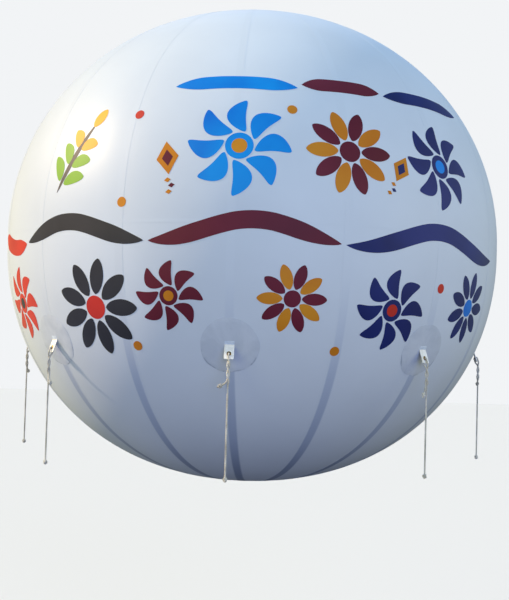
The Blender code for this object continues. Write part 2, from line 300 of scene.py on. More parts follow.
def strand_section(angle):
    """Radius of three touching strands seen along the rope, as a share of the rope's own radius."""
    around = (angle + math.pi / 3) % (2 * math.pi / 3) - math.pi / 3
    reach = np.sqrt(np.maximum(STRAND_RADIUS**2 - (STRAND_CENTRE * np.sin(around)) ** 2, 0))
    return np.maximum(STRAND_CENTRE * np.cos(around) + reach, GROOVE)


def laid_rope(path, radius=ROPE_RADIUS, lay=ROPE_LAY, phase=0.0):
    """Rings of points round a path: a section of three lobes that turns once in each lay length."""
    normal, side = frames_along(path)
    angle = circle(ROPE_SIDES)
    wind = 2 * math.pi * along_line(path) / lay + phase
    size = radius * strand_section(angle[None, :] - wind[:, None])
    ring = np.cos(angle)[None, :, None] * normal[:, None] + np.sin(angle)[None, :, None] * side[:, None]
    return path[:, None] + size[..., None] * ring


def tube(grid):
    """A closed tube from rings of points: quads along it, and triangles round a point at each end."""
    index = numbered(grid)
    points = grid.reshape(-1, 3)
    ends = np.array([grid[0].mean(axis=0), grid[-1].mean(axis=0)])
    first, last = len(points), len(points) + 1
    near = [(first, b, a) for a, b in zip(index[0], np.roll(index[0], -1))]
    far = [(last, a, b) for a, b in zip(index[-1], np.roll(index[-1], -1))]
    return np.concatenate([points, ends]), [*quads(index, around=True).tolist(), *near, *far]


def closed_ring(grid):
    """A closed ring from rings of points whose last row joins the first."""
    index = numbered(grid)
    return grid.reshape(-1, 3), quads(np.concatenate([index, index[:1]]), around=True)


def twisted_pair(number, run):
    """The long and the short part of a rope at distances below the strap's end. Their middle line leaves
    along the strap, turns to plumb about the swing's axis and drops. They close in and wind round it."""
    _, side, out, up = station_axes(number)
    lean = TAB_LEAN * (1 - ease((run - SWING_RUN + BEND_REACH) / (2 * BEND_REACH)))
    step = np.diff(run, prepend=0)
    middle = on_tab(number, 0, TAB_LENGTH, 0) + np.outer(np.cumsum(step * np.sin(lean)), out)
    middle -= np.outer(np.cumsum(step * np.cos(lean)), up)
    face = np.outer(np.cos(lean), out) + np.outer(np.sin(lean), up)
    sense = -math.copysign(1, TAIL_ACROSS[number - 1])
    wind = 2 * math.pi * run**2 / (TWIST_PITCH * (run + TWIST_EASE))
    away = np.cos(wind)[:, None] * face + sense * np.sin(wind)[:, None] * side
    loose = EYELET_FACE + LOOP_BEND
    apart = loose + (TWIST_OFFSET - loose) * ease(run / CLOSE_RUN)
    parting = 1 - ease((run - TWIST_END) / PART_RUN)
    return middle + (apart * parting)[:, None] * away, middle - apart[:, None] * away


def curve(start, near, far, stop, count):
    """Points on a cubic Bezier curve from start to stop that leaves towards near and comes in from far."""
    t = np.linspace(0, 1, count)[:, None]
    return (1 - t) ** 3 * start + 3 * (1 - t) ** 2 * t * near + 3 * (1 - t) * t**2 * far + t**3 * stop


def tail_line(number, start, heading):
    """The short part from the end of the twist: a curve that leaves along heading and falls to its knot."""
    _, side, out, up = station_axes(number)
    i = number - 1
    end = start + TAIL_ACROSS[i] * side + TAIL_PROUD[i] * out - TAIL_DROP[i] * up
    reach = np.linalg.norm(end - start)
    near = start + heading * reach * 0.4
    aim = (end - near) / np.linalg.norm(end - near)
    fall = curve(start, near, end - aim * reach * 0.3, end, 80)
    return np.concatenate([fall, [end + aim * KNOT_STUB]]), end, aim


def knot(centre, axis, phase):
    """An overhand knot: a rope ring that winds twice round its axis while it rises and falls three times."""
    t = np.linspace(0, 2 * math.pi, 91)
    radius = KNOT_RADIUS + KNOT_SWELL * np.cos(3 * t)
    seed = np.eye(3)[np.argmin(np.abs(axis))]
    first = np.cross(axis, seed)
    first /= np.linalg.norm(first)
    plane = np.stack([first, np.cross(axis, first), axis])
    wind = 2 * t + phase
    path = np.stack([radius * np.cos(wind), radius * np.sin(wind), KNOT_RISE * np.sin(3 * t)], axis=-1)
    return tube(laid_rope(centre + path @ plane, radius=KNOT_ROPE_RADIUS, lay=KNOT_LAY))


def rope_line(number):
    """The whole rope from its tail knot's stub to its lower end, evenly spaced, the rows where its two parts
    leave the swinging stretch, and the tail knot's place and direction."""
    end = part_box(f"rope_{number}")[0][2]
    run = np.arange(0, LONGEST_RUN, FINE_STEP)
    long_part, short_part = twisted_pair(number, run)
    long_part = long_part[long_part[:, 2] > end]
    short_part = short_part[run <= TWIST_END]
    heading = short_part[-1] - short_part[-2]
    tail, knot_place, knot_axis = tail_line(number, short_part[-1], heading / np.linalg.norm(heading))
    bend = np.linspace(math.pi / 2, 0, 12)
    down = EYE_DISTANCE + LOOP_BEND * (1 - np.cos(bend))
    proud = EYELET_FACE + LOOP_BEND * np.sin(bend)
    over = on_tab(number, 0, np.concatenate([down, down[::-1]]), np.concatenate([-proud, proud[::-1]]))
    path = np.concatenate([tail[:0:-1], short_part[::-1], over, long_part])
    length = along_line(path)
    spaced = np.linspace(0, length[-1], round(length[-1] / ROPE_STEP) + 1)
    line = np.stack([np.interp(spaced, length, path[:, i]) for i in range(3)], axis=-1)
    split = round(SPLIT_RUN / FINE_STEP)
    leaves = (len(tail) - 1 + len(short_part) - 1 - split, len(path) - len(long_part) + split)
    rows = [int(np.searchsorted(spaced, length[i])) for i in leaves]
    return line, rows, knot_place, knot_axis


def rope_material():
    """Spun polyester rope: matt, slightly fuzzy yarns, with grey flecks and stains at random."""
    made, tree, shader, place = finish("spun_polyester_rope", Roughness=0.85, Sheen_Weight=0.35)
    yarn = add(tree, "ShaderNodeTexNoise", {"Vector": place}, Scale=900.0, Detail=3.0).outputs["Fac"]
    stain = add(tree, "ShaderNodeTexNoise", {"Vector": place}, Scale=14.0, Detail=4.0).outputs["Fac"]
    mixed = add(tree, "ShaderNodeMath", {0: yarn, 1: stain}, {2: 0.18}, operation="MULTIPLY_ADD").outputs[0]
    colour = ramp(tree, mixed, [(0.3, "8c867a"), (0.45, "c6c1b6"), (0.65, "efece5")])
    dress(tree, shader, colour, yarn, 0.5, 0.0004)
    return made


cordage = rope_material()
for number in stations:
    _, _, out, up = station_axes(number)
    pivot = np.array(joints[f"rope_swing_{number}"]["pos_m"])
    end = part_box(f"rope_{number}")[0][2]
    line, (short_row, long_row), knot_place, knot_axis = rope_line(number)
    rings = laid_rope(line, phase=number)
    lashing = tube(rings[short_row : long_row + 1])
    lashing = piece(f"rope_lashing_{number}", [lashing], cordage, None)
    along = out * math.sin(TAB_LEAN) - up * math.cos(TAB_LEAN)
    start, stop = pivot - along * BLEND_REACH, pivot - up * BLEND_REACH
    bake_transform(lashing)
    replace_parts(lashing, f"lashing_{number}")
    body = f"line_{number}"
    tail = [tube(rings[: short_row + 1]), knot(knot_place, knot_axis, 2.0 * number)]
    tail = piece(f"twisted_tail_{number}", tail, cordage, body)
    rope = piece(f"hanging_rope_{number}", [tube(rings[long_row:])], cordage, body)
    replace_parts(rope, f"rope_{number}")
    place = np.array([line[-1][0], line[-1][1], end + STOPPER_RISE])
    stopper = piece(f"stopper_knot_{number}", [knot(place, up, 1.7 * number)], cordage, body)

# Envelope film
# Sixteen gores of glossy white PVC film, cut as tapered strips and welded edge to edge from the crown to
# the base. Gas pressure pulls them into a sphere that is a little flatter than it is wide.

EQUATOR_RADIUS = (cad_high[0] - cad_low[0]) / 2
POLAR_RATIO = 0.957
TOP_SQUARENESS = 2.06
BASE_SQUARENESS = 2.14
GORE_COUNT = 16
GORE_ANGLE = 2 * math.pi / GORE_COUNT
TIP_LATITUDE = math.radians(85)
TAB_LATITUDE = math.radians(-23.4)
FILM_THICKNESS = 0.002
SEAM_PINCH = 0.0012
SEAM_PINCH_REACH = 0.07
BELT_PINCH = 0.0012
BELT_REACH = 0.055
PUCKER_WAVES = 9
PUCKER_HEIGHT = 0.0007
PUCKER_RING = 0.17
PUCKER_REACH = 0.055
GORE_COLUMNS = 20
GORE_ROWS = 120
WHITE_CODES = ("cbd3e1", "d1d9e7")
FILM_GLOSS = {"Roughness": 0.42, "IOR": 1.45, "Specular_IOR_Level": 0.3}


def bare_film(latitude):
    """Radius, height and their slopes along the envelope's outer line, a superellipse in each half."""
    c = np.maximum(np.cos(latitude), 1e-5)
    s = np.sin(latitude)
    size = np.maximum(np.abs(s), 1e-5)
    power = 2 / np.where(s > 0, TOP_SQUARENESS, BASE_SQUARENESS)
    radius = EQUATOR_RADIUS * c**power
    height = EQUATOR_RADIUS * POLAR_RATIO * np.sign(s) * size**power
    along_radius = -EQUATOR_RADIUS * power * c ** (power - 1) * s
    along_height = EQUATOR_RADIUS * POLAR_RATIO * power * size ** (power - 1) * c
    return radius, height, along_radius, along_height


latitude_table = np.linspace(-math.pi / 2, math.pi / 2, 4001)
table_radius, table_height, _, _ = bare_film(latitude_table)
arc_table = np.concatenate([[0], np.cumsum(np.hypot(np.diff(table_radius), np.diff(table_height)))])


def film_run(latitude):
    """The distance along the film from the base's pole up to a latitude."""
    return np.interp(latitude, latitude_table, arc_table)


def film(azimuth, latitude, lift=0.0):
    """Points on the inflated film, lift above it: a turned line, drawn in by a bell curve at each seam and at
    the weld round the equator, and puckered in nine waves round each load patch."""
    radius, height, along_radius, along_height = bare_film(latitude)
    size = np.hypot(along_radius, along_height)
    out, up = along_height / size, -along_radius / size
    seam = (azimuth + GORE_ANGLE / 2) % GORE_ANGLE - GORE_ANGLE / 2
    pinch = SEAM_PINCH * np.exp(-((seam * radius / SEAM_PINCH_REACH) ** 2)) * np.cos(latitude)
    pinch = pinch + BELT_PINCH * np.exp(-((height / BELT_REACH) ** 2))
    station = (azimuth + TAB_ANGLE / 2) % TAB_ANGLE - TAB_ANGLE / 2
    east = station * radius
    north = film_run(latitude) - film_run(TAB_LATITUDE)
    distance = np.hypot(east, north)
    nearest = np.round(azimuth / TAB_ANGLE) % len(stations)
    pucker = np.sin(PUCKER_WAVES * np.arctan2(north, east) + 1.3 * nearest) * PUCKER_HEIGHT
    pucker = pucker * np.exp(-(((distance - PUCKER_RING) / PUCKER_REACH) ** 2))
    raised = lift - pinch + pucker
    radius = radius + out * raised
    height = height + up * raised
    return np.stack([radius * np.sin(azimuth), -radius * np.cos(azimuth), height + 0 * azimuth], axis=-1)


def film_at(azimuth, latitude, east, north, lift=0.0):
    """Points on the film at distances east and north, in metres along it, of a point given by its angles."""
    there = np.interp(film_run(latitude) + north, arc_table, latitude_table)
    return film(azimuth + east / bare_film(there)[0], there, lift)


def slab(outer, inner):
    """A closed thin sheet from two grids of points: both faces, and a wall along each edge."""
    top = numbered(outer)
    under = top + top.size
    rims = [(under[0], top[0]), (top[-1], under[-1]), (top[:, 0], under[:, 0]), (under[:, -1], top[:, -1])]
    faces = [quads(top), quads(under)[:, ::-1], *(quads(np.stack(rim)) for rim in rims)]
    return np.concatenate([outer.reshape(-1, 3), inner.reshape(-1, 3)]), np.concatenate(faces)


def flat_ring(outer, inner):
    """A closed thin ring from two grids of rings of points, each from the hole out to the rim."""
    return closed_ring(np.concatenate([outer, inner[::-1]]))


def flat_disc(outer, inner):
    """A closed thin disc from two grids of rings of points, each from the middle out to the rim."""
    return tube(np.concatenate([outer, inner[::-1]]))


def film_colour(tree, place):
    """White film that changes a little over a metre or so, as rolls and handling leave it."""
    cloud = add(tree, "ShaderNodeTexNoise", {"Vector": place}, Scale=1.6, Detail=4.0).outputs["Fac"]
    return ramp(tree, cloud, [(0.35, WHITE_CODES[0]), (0.65, WHITE_CODES[1])])


def film_material():
    """Calendered PVC film: milky white with a satin gloss, so the sky lies on it as wide soft glows, and
    faint ripples a hand wide that bend them."""
    made, tree, shader, place = finish("calendered_pvc_film", **FILM_GLOSS)
    ripple = add(tree, "ShaderNodeTexNoise", {"Vector": place}, Scale=5.0, Detail=3.0, Distortion=0.4)
    ripple = ripple.outputs["Fac"]
    gloss = add(tree, "ShaderNodeMapRange", {"Value": ripple}, To_Min=0.39, To_Max=0.45).outputs["Result"]
    tree.links.new(gloss, shader.inputs["Roughness"])
    dress(tree, shader, film_colour(tree, place), ripple, 0.08, 0.004)
    return made


white_film = film_material()
latitudes = np.linspace(-TIP_LATITUDE, TIP_LATITUDE, GORE_ROWS)[:, None]
for number in range(1, GORE_COUNT + 1):
    azimuths = np.linspace(number - 1, number, GORE_COLUMNS + 1)[None, :] * GORE_ANGLE
    gore = slab(film(azimuths, latitudes), film(azimuths, latitudes, -FILM_THICKNESS))
    gore = piece(f"film_gore_{number:02d}", [gore], white_film, "root")
    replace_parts(gore, f"gore_{number:02d}")

# Seam tapes
# A tape of the same film is welded over each seam, about 55 mm wide low down and 40 mm at the crown. The
# layers let less light through, and the tapes' middles are painted with shade as soft darker bands that
# deepen from the equator down to the base, where the envelope lies in shade.

TAPE_HEIGHTS = (-1.5, -1.15, -0.75, -0.45, 1.5)
TAPE_HALF_WIDTHS = (0.026, 0.028, 0.029, 0.027, 0.020)
TAPE_LIFT = 0.0006
TAPE_SINK = 0.0001
TAPE_COLUMNS = 8
# painted shade for the tapes' middles, darkest at the base and fading up past the equator
TAPE_PAINTED_SHADE = ((0.0, "8f9bb6"), (0.12, "a4b0ca"), (0.33, "b1bcd3"), (0.47, "c2cbdd"), (0.65, "ced6e4"))


def mark(obj, name, values):
    """Stores one number for each point of a piece, for its material to read."""
    values = np.ravel(values).astype(np.float32)
    obj.data.attributes.new(name, "FLOAT", "POINT").data.foreach_set("value", values)


def tape_material():
    """Hot-air welded PVC tape: the film's own white at its edges, blue-grey along its middle where three
    layers lie, painted darker as shade from the equator down to the base, and fine puckers from the weld."""
    made, tree, shader, place = finish("welded_pvc_tape", **FILM_GLOSS)
    across = add(tree, "ShaderNodeAttribute", attribute_name="across").outputs["Fac"]
    core = add(tree, "ShaderNodeMapRange", {"Value": across}, From_Min=1.0, From_Max=0.6)
    core.interpolation_type = "SMOOTHSTEP"
    height = add(tree, "ShaderNodeSeparateXYZ", {"Vector": place}).outputs["Z"]
    # painted shade: the tape's middle darkens with height, from the equator down to the base
    depth = add(tree, "ShaderNodeMapRange", {"Value": height}, From_Min=-1.3, From_Max=0.3).outputs["Result"]
    dark = ramp(tree, depth, TAPE_PAINTED_SHADE)
    ends = {0: core.outputs["Result"], 6: film_colour(tree, place), 7: dark}
    mixed = add(tree, "ShaderNodeMix", ends, data_type="RGBA").outputs[2]
    pucker = add(tree, "ShaderNodeTexNoise", {"Vector": place}, Scale=70.0, Detail=2.0).outputs["Fac"]
    dress(tree, shader, mixed, pucker, 0.2, 0.0008)
    return made


tape_film = tape_material()
radius, height, _, _ = bare_film(latitudes)
half = np.minimum(np.interp(height, TAPE_HEIGHTS, TAPE_HALF_WIDTHS) / radius, GORE_ANGLE * 0.45)
across = np.linspace(-1, 1, TAPE_COLUMNS + 1)[None, :]
for number in range(1, GORE_COUNT + 1):
    azimuths = (number - 1) * GORE_ANGLE + half * across
    tape = slab(film(azimuths, latitudes, TAPE_LIFT), film(azimuths, latitudes, TAPE_SINK))
    tape = piece(f"seam_tape_{number:02d}", [tape], tape_film, "root")
    mark(tape, "across", np.tile(np.abs(across) + 0 * half, (2, 1)))

# Equator weld
# Each gore is cut in two lengths, and the upper halves lap the lower ones at the equator. The lap is welded
# all round and shows as a fine level line.

BELT_HALF_WIDTH = 0.008
BELT_LIFT = 0.0005
BELT_ROWS = 5
BELT_SIDES = 384
across = np.linspace(-1, 1, BELT_ROWS)[:, None]
azimuths = circle(BELT_SIDES)
levels = across * BELT_HALF_WIDTH / EQUATOR_RADIUS
belt = flat_ring(film(azimuths, levels, BELT_LIFT), film(azimuths, levels, TAPE_SINK))
belt = piece("equator_weld", [belt], tape_film, "root")
mark(belt, "across", np.tile(np.abs(across) + 0 * azimuths, (2, 1)))

# Polar caps
# A round disc of film is welded over the gore tips at the crown and at the base. Its rim shows as a
# shallow ring, and two weld lines run round just inside it.

CAP_RADIUS = 0.210
CAP_LIFT = 0.0021
CAP_SIDES = 96
CAP_RINGS = 26
CAP_WELDS = (0.008, 0.022)
WELD_DEPTH = 0.0005
WELD_WIDTH = 0.004
RIM_ROUND = 0.002
VALVE_HOLE = 0.024
CROWN_MIDDLE = 0.004


def cap_surface(sign, inner_radius):
    """A disc on the film about a pole, its profile from the rim to the middle pressed in along two welds."""
    half = np.flatnonzero(latitude_table * sign >= 0)[:: -int(sign)]
    rim, reach = np.interp([CAP_RADIUS, inner_radius], table_radius[half], latitude_table[half])
    latitude = np.linspace(rim, reach, CAP_RINGS)[:, None]
    azimuth = circle(CAP_SIDES)
    edge = CAP_RADIUS - bare_film(latitude)[0]
    press = sum(np.exp(-(((edge - weld) / WELD_WIDTH) ** 2)) for weld in CAP_WELDS)
    lift = CAP_LIFT * np.clip(edge / RIM_ROUND + 0.35, 0, 1) - WELD_DEPTH * press
    return film(azimuth, latitude, lift), film(azimuth, latitude, 0.0)


outer, inner = cap_surface(1, CROWN_MIDDLE)
crown = flat_disc(outer[::-1, ::-1], inner[::-1, ::-1])
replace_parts(piece("crown_cap_disc", [crown], white_film, "root"), "crown_cap")
outer, inner = cap_surface(-1, VALVE_HOLE)
base = flat_ring(outer[::-1], inner[::-1])
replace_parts(piece("base_cap_disc", [base], white_film, "root"), "base_cap")

# Load patches
# A second layer of film, 300 mm across, spreads each rope's pull. It is cut round by hand and welded
# from its middle outwards, so its edge waves a little, and a thin broken line of painted shade lies in the
# creases along the lower half of its rim.

PATCH_RADIUS = 0.150
PATCH_LIFT = 0.0018
PATCH_EDGE = 0.0008
PATCH_TAPER = 0.12
PATCH_SIDES = 96
PATCH_RINGS = 20
PATCH_MIDDLE = 0.02
PATCH_UNDER = 0.0002
CREASE_HEIGHT = 0.0005
# colour of the painted shade line in the creases along each patch's lower rim
RIM_SHADE_CODE = "9fa9bc"


def patch_material():
    """Two layers of PVC film: a shade greyer than one, clouded where the weld missed, with a thin broken line
    of painted shade along the lower half of the rim and fine creases from the rope's pull."""
    made, tree, shader, place = finish("double_pvc_film", **FILM_GLOSS)
    cloud = add(tree, "ShaderNodeTexNoise", {"Vector": place}, Scale=9.0, Detail=4.0, Distortion=0.6)
    colour = ramp(tree, cloud.outputs["Fac"], [(0.35, "bdc5d4"), (0.65, "c9d0de")])
    share = add(tree, "ShaderNodeAttribute", attribute_name="share").outputs["Fac"]
    # painted shade: a thin dark line along the rim, broken up by noise, on the patch's lower half only
    line = add(tree, "ShaderNodeMapRange", {"Value": share}, From_Min=0.94, From_Max=0.975).outputs["Result"]
    shade_breaks = add(tree, "ShaderNodeTexNoise", {"Vector": place}, Scale=22.0, Detail=5.0).outputs["Fac"]
    dirt_and_shade = add(tree, "ShaderNodeMapRange", {"Value": shade_breaks}, From_Min=0.46, From_Max=0.60).outputs["Result"]
    rim = add(tree, "ShaderNodeMath", {0: line, 1: dirt_and_shade}, operation="MULTIPLY").outputs[0]
    mixed = add(tree, "ShaderNodeMix", {0: rim, 6: colour}, {7: linear(RIM_SHADE_CODE)}, data_type="RGBA")
    crease = add(tree, "ShaderNodeTexNoise", {"Vector": place}, Scale=26.0, Detail=4.0, Distortion=1.5)
    dress(tree, shader, mixed.outputs[2], crease.outputs["Fac"], 0.35, 0.003)
    return made


patch_film = patch_material()
share = np.linspace(PATCH_MIDDLE, 1, PATCH_RINGS)[:, None]
angle = circle(PATCH_SIDES)
lower = ease((np.sin(angle) + 0.1) / 0.5)


def wavy_disc(azimuth, seed):
    """A disc on the film. Its edge wanders by 2 percent in two waves, and creases rise towards the rim."""
    edge = 1 + 0.012 * np.sin(3 * angle + seed) + 0.008 * np.sin(7 * angle + 2.1 * seed)
    reach = PATCH_RADIUS * share * edge
    wave = CREASE_HEIGHT * np.sin(17 * angle + seed + 2 * np.sin(2 * angle)) * ease((share - 0.70) / 0.3)
    east, north = reach * np.cos(angle), -reach * np.sin(angle)
    thin = PATCH_EDGE + (PATCH_LIFT - PATCH_EDGE) * ease((1 - share) / PATCH_TAPER)
    outer = film_at(azimuth, TAB_LATITUDE, east, north, thin + wave)
    return flat_disc(outer, film_at(azimuth, TAB_LATITUDE, east, north, PATCH_UNDER))


for number in stations:
    patch = [wavy_disc((number - 1) * TAB_ANGLE, number)]
    patch = piece(f"patch_disc_{number}", patch, patch_film, "root")
    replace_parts(patch, f"load_patch_{number}")
    # the rim's painted shade line reaches the outer ring only on the lower half of each patch
    marked = share * (0.92 + 0.08 * lower)
    mark(patch, "share", np.concatenate([marked.ravel(), marked[::-1].ravel(), [0, 0]]))

# Tie tabs
# A 50 mm strap of heavier white PVC, folded double. Its two ends are welded flat to the patch as a foot, and
# the fold hangs out as a tab that the rope pulls away from the film.

TAB_HALF_WIDTH = 0.025
TAB_THICKNESS = 0.004
TAB_CORNER = 0.006
TAB_EDGE = 0.8
EYE_HOLE = 0.0064
FOOT_LENGTH = 0.026
FOOT_START = 0.002
FOOT_LIFT = 0.0030
FOOT_SINK = 0.0012
FOOT_EDGE = 0.0020
FOOT_BARS = 5
BAR_DEPTH = 0.0004
HINGE_LIFT = 0.0046
PULL = 0.0009
SLEEVE_ROWS = 18
SLEEVE_REACH = 0.008
SLEEVE_LEAD = 0.001
SLEEVE_THIN = 0.0009
SLEEVE_SWELL = 0.0013
SLEEVE_MARGIN = 0.0004
PRESSED_GLOSS = {"Roughness": 0.28, "IOR": 1.5, "Coat_Weight": 0.2, "Coat_Roughness": 0.1}
_, _, slope_out, slope_up = bare_film(TAB_LATITUDE)
SURFACE_LEAN = math.atan2(slope_out, slope_up)


def tab_outline(angle):
    """Distance from the eyelet's centre to the strap's edge: straight sides and two round corners."""
    c, s = np.abs(np.cos(angle)), np.sin(angle)
    room = np.where(s > 0, EYE_DISTANCE - 0.001, TAB_LENGTH - EYE_DISTANCE)
    straight = np.minimum(TAB_HALF_WIDTH / np.maximum(c, 1e-6), room / np.maximum(np.abs(s), 1e-6))
    x, y = TAB_HALF_WIDTH - TAB_CORNER, TAB_LENGTH - EYE_DISTANCE - TAB_CORNER
    along = x * c + y * np.abs(s)
    bent = along + np.sqrt(np.maximum(along**2 - x**2 - y**2 + TAB_CORNER**2, 0))
    corner = (s < 0) & (bent * c > x) & (bent * np.abs(s) > y)
    return np.where(corner, np.minimum(bent, straight), straight)


def tab_faces(number):
    """The strap's two faces as rings from the eyelet's hole to the edge, cupped by the rope's pull."""
    share = np.linspace(0, 1, 14)[:, None]
    angle = np.linspace(2 * math.pi, 0, 120, endpoint=False)[None, :]
    reach = EYE_HOLE + (tab_outline(angle) - EYE_HOLE) * share
    across, down = reach * np.cos(angle), EYE_DISTANCE - reach * np.sin(angle)
    cup = PULL * (across / TAB_HALF_WIDTH) ** 2 * np.clip(down / EYE_DISTANCE, 0, 1) * (-1) ** number
    half = TAB_THICKNESS / 2 * np.where(share > 0.97, TAB_EDGE, 1.0)
    return on_tab(number, across, down, half + cup), on_tab(number, across, down, cup - half)


def weld_foot(number):
    """The strap's welded end: a flat strip on the film with even bars pressed across it and a thin edge."""
    east = np.linspace(-1, 1, 25)[None, :]
    north = np.linspace(0, 1, 41)[:, None]
    rim = ease((1 - np.abs(east)) / 0.08) * ease((1 - north) / 0.06)
    bars = BAR_DEPTH * (0.5 + 0.5 * np.cos(2 * math.pi * FOOT_BARS * north)) * (np.abs(east) < 0.9)
    lift = FOOT_EDGE + (FOOT_LIFT - FOOT_EDGE) * rim - bars * rim
    place = ((number - 1) * TAB_ANGLE, TAB_LATITUDE)
    east, north = np.broadcast_arrays(east * TAB_HALF_WIDTH, FOOT_START + north * (FOOT_LENGTH - FOOT_START))
    return slab(film_at(*place, east, north, lift), film_at(*place, east, north, FOOT_SINK))


def fold_sleeve(number):
    """The bend between foot and tab: a flat oval swept along a smooth line from foot to tab."""
    hinge, side, out, up = station_axes(number)
    normal = out * math.cos(SURFACE_LEAN) - up * math.sin(SURFACE_LEAN)
    rise = out * math.sin(SURFACE_LEAN) + up * math.cos(SURFACE_LEAN)
    along = out * math.sin(TAB_LEAN) - up * math.cos(TAB_LEAN)
    low = hinge + normal * (FOOT_LIFT - SLEEVE_THIN - HINGE_LIFT)
    start, stop = low + rise * SLEEVE_REACH, hinge + along * SLEEVE_REACH
    path = curve(start, low + rise * SLEEVE_LEAD, hinge - along * SLEEVE_LEAD, stop, SLEEVE_ROWS)
    tangent = np.gradient(path, axis=0)
    tangent /= np.linalg.norm(tangent, axis=1, keepdims=True)
    proud = np.cross(side, tangent)
    thick = SLEEVE_THIN + SLEEVE_SWELL * ease(np.linspace(0, 1, SLEEVE_ROWS) * 1.4)
    angle = np.linspace(2 * math.pi, 0, 40, endpoint=False)
    flat = np.sign(np.cos(angle)) * np.abs(np.cos(angle)) ** 0.22
    tall = np.sign(np.sin(angle)) * np.abs(np.sin(angle)) ** 0.5
    grid = path[:, None] + flat[None, :, None] * (TAB_HALF_WIDTH + SLEEVE_MARGIN) * side
    grid = grid + (thick[:, None] * tall)[..., None] * proud[:, None]
    return tube(grid), start, stop


def strap_material():
    """Scrim-reinforced PVC: whiter and duller than the film, with the threads of its scrim just showing."""
    made, tree, shader, place = finish("scrim_reinforced_pvc", Roughness=0.42, IOR=1.5, Coat_Weight=0.1)
    weave = add(tree, "ShaderNodeTexVoronoi", {"Vector": place}, Scale=420.0).outputs["Distance"]
    dirt_and_shade = add(tree, "ShaderNodeTexNoise", {"Vector": place}, Scale=40.0, Detail=5.0).outputs["Fac"]
    colour = ramp(tree, dirt_and_shade, [(0.3, "e9e6e0"), (0.5, "f5f2ed"), (0.7, "fcfaf6")])
    dress(tree, shader, colour, weave, 0.25, 0.0004)
    return made


def foot_material():
    """The same strap melted into the patch: pressed glassy by the heat, with the film's blue-grey in it."""
    made, tree, shader, place = finish("heat_pressed_pvc", **PRESSED_GLOSS)
    melt = add(tree, "ShaderNodeTexNoise", {"Vector": place}, Scale=60.0, Detail=4.0).outputs["Fac"]
    dress(tree, shader, ramp(tree, melt, [(0.35, "c6d2e6"), (0.65, "d9e3f2")]), melt, 0.2, 0.0006)
    return made


strap_film = strap_material()
foot_film = foot_material()
for number in stations:
    strap = flat_ring(*tab_faces(number))
    strap = piece(f"strap_tab_{number}", [strap], strap_film, f"tab_{number}")
    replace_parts(strap, f"tie_tab_{number}")
    piece(f"strap_foot_{number}", [weld_foot(number)], foot_film, "root")
    sleeve, start, stop = fold_sleeve(number)
    fold = piece(f"strap_fold_{number}", [sleeve], strap_film, None)
    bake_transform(fold)

# Eyelets
# A rolled brass grommet, 24 mm across, is pressed through each tab. Its hole is 12 mm, and the brass has
# gone dull under patches of brown oxide.

EYE_RADIUS = 0.0060
EYE_FLANGE_RADIUS = 0.0120
EYE_FACE = 0.0034
EYE_GRIP = 0.0019
EYE_LIP = 0.0012


def grommet(number):
    """A ring turned from a closed outline: a round lip at the hole, domed flanges and a barrel between."""
    turned = circle(48)
    sweep = np.linspace(0, math.pi / 2, 5)
    lip_radius = EYE_RADIUS + EYE_LIP * (1 - np.cos(sweep))
    lip_height = EYE_FACE - 0.0009 + EYE_LIP * np.sin(sweep)
    outline = [(EYE_RADIUS, 0.0), *zip(lip_radius, lip_height)] + [
        (0.0090, EYE_FACE - 0.0001),
        (0.0110, EYE_FACE - 0.0005),
        (EYE_FLANGE_RADIUS, EYE_GRIP + 0.0005),
        (EYE_FLANGE_RADIUS - 0.0004, EYE_GRIP),
        (0.0072, EYE_GRIP),
    ]
    back = [(r, -h) for r, h in reversed(outline[1:])]
    r, h = np.array(outline + back).T[..., None]
    across, down, proud = r * np.cos(turned), EYE_DISTANCE + r * np.sin(turned), h + 0 * turned
    return closed_ring(on_tab(number, across, down, proud))


def brass_material():
    """Rolled brass left outdoors: dull yellow metal with brown oxide in patches and fine press marks."""
    made, tree, shader, place = finish("weathered_brass", Metallic=1.0, Roughness=0.42)
    oxide = add(tree, "ShaderNodeTexNoise", {"Vector": place}, Scale=160.0, Detail=5.0).outputs["Fac"]
    dress(tree, shader, ramp(tree, oxide, [(0.35, "4a3a22"), (0.5, "8a6c38"), (0.7, "b8975a")]))
    rough = add(tree, "ShaderNodeMapRange", {"Value": oxide}, To_Min=0.6, To_Max=0.3)
    tree.links.new(rough.outputs["Result"], shader.inputs["Roughness"])
    return made


brass = brass_material()
for number in stations:
    ring = piece(f"brass_grommet_{number}", [grommet(number)], brass, f"tab_{number}")
    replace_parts(ring, f"eyelet_{number}")

# Inflation valve
# A moulded white PVC valve sits in the base cap: a flange with a raised throat lip, and a snap lid on a
# small hinge with a finger tab. It is the only opening, and the gas goes in and out through it.

VALVE_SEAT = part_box("valve_base")[1][2]
VALVE_SIDES = 72
BORE_RADIUS = 0.0170
THROAT_RADIUS = 0.0237
THROAT_HEIGHT = 0.034
FLANGE_RADIUS = 0.0550
FLANGE_THICKNESS = 0.003
LID_RADIUS = 0.0320
LID_THICKNESS = 0.0033
BEAD_INNER = 0.0212
BEAD_OUTER = 0.0262
BEAD_SLOPE = 0.0012
SMALL_ROUND = 0.0006
LUG_OFFSET = 0.0108
LUG_HALF = (0.0035, 0.004, 0.0042)
LEAF_HALF = (0.0058, 0.0062, 0.0014)
GRIP_HALF = (0.0075, 0.0045, 0.0011)
PIN_RADIUS = 0.0014
KNUCKLE_RADIUS = 0.0028


def turned_grid(outline):
    """Rings of points round the vertical axis from an outline of radius and height."""
    angle = circle(VALVE_SIDES)
    r, h = np.array(outline).T[..., None]
    return np.stack([r * np.sin(angle), -r * np.cos(angle), h + 0 * angle], axis=-1)


